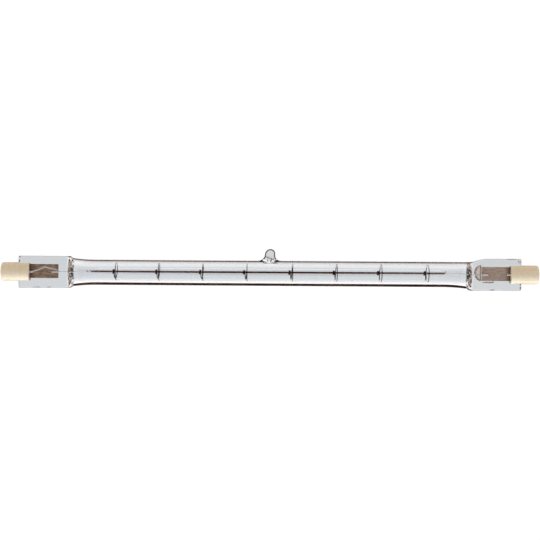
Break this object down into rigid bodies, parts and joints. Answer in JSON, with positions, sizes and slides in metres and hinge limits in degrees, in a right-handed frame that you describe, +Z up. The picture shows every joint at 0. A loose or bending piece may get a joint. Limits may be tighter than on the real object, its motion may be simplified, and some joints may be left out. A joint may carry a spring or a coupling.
{
  "type": "linear halogen bulb",
  "caption": "Double-ended linear halogen bulb: clear quartz tube with flat pinch seals, coiled filament on spiral supports, exhaust tip and ceramic caps with recessed contacts.",
  "frame": {"origin": "on the axis of the tube, halfway between the two ends of the lamp", "axes": "+X along the lamp, +Z up as the bulb lies at rest on its tube and its exhaust tip, +Y towards the side the tip points to"},
  "size_m": [0.254, 0.0179, 0.012],
  "materials": {
    "quartz": "clear fused quartz",
    "ceramic": "satin beige steatite ceramic",
    "cement": "dry pale lamp cement",
    "tungsten": "dark drawn tungsten wire",
    "lead_wire": "drawn molybdenum wire",
    "molybdenum_foil": "rolled foil, brown where it has oxidised",
    "contact_metal": "nickel plated"
  },
  "bodies": {
    "root": {"quartz_envelope": "quartz", "filament_coil": "tungsten", "inner_lead_left": "lead_wire", "inner_lead_right": "lead_wire", "outer_lead_left": "lead_wire", "outer_lead_right": "lead_wire", "foil_left": "molybdenum_foil", "foil_right": "molybdenum_foil", "ceramic_cap_left": "ceramic", "ceramic_cap_right": "ceramic", "cap_cement_left": "cement", "cap_cement_right": "cement", "contact_left": "contact_metal", "contact_right": "contact_metal", "filament_support_1": "tungsten", "filament_support_2": "tungsten", "filament_support_3": "tungsten", "filament_support_4": "tungsten", "filament_support_5": "tungsten", "filament_support_6": "tungsten", "filament_support_7": "tungsten", "filament_support_8": "tungsten"}
  },
  "joints": []
}
